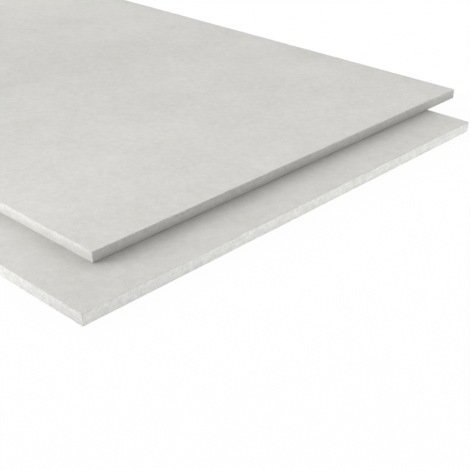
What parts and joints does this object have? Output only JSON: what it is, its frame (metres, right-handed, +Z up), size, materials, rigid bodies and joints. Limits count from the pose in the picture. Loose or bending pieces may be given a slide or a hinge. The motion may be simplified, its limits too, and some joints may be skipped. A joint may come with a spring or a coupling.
{
  "type": "dry screed floor panel",
  "caption": "Flat floor panel of offset bonded gypsum-fibre boards, with a stepped lip on adjoining edges and a matching overhang on the opposite ones, so that panels overlap into a dry floor.",
  "frame": {"origin": "centre of the panel's whole outline, on the plane of its underside", "axes": "+X along the length, towards the end with the lip; +Y across the width, away from the side with the lip; +Z up, out of the walking face"},
  "size_m": [1.55, 0.55, 0.02],
  "materials": {
    "gypsum_fibreboard": "matte"
  },
  "bodies": {
    "root": {"lower_board": "gypsum_fibreboard", "upper_board": "gypsum_fibreboard"}
  },
  "joints": []
}
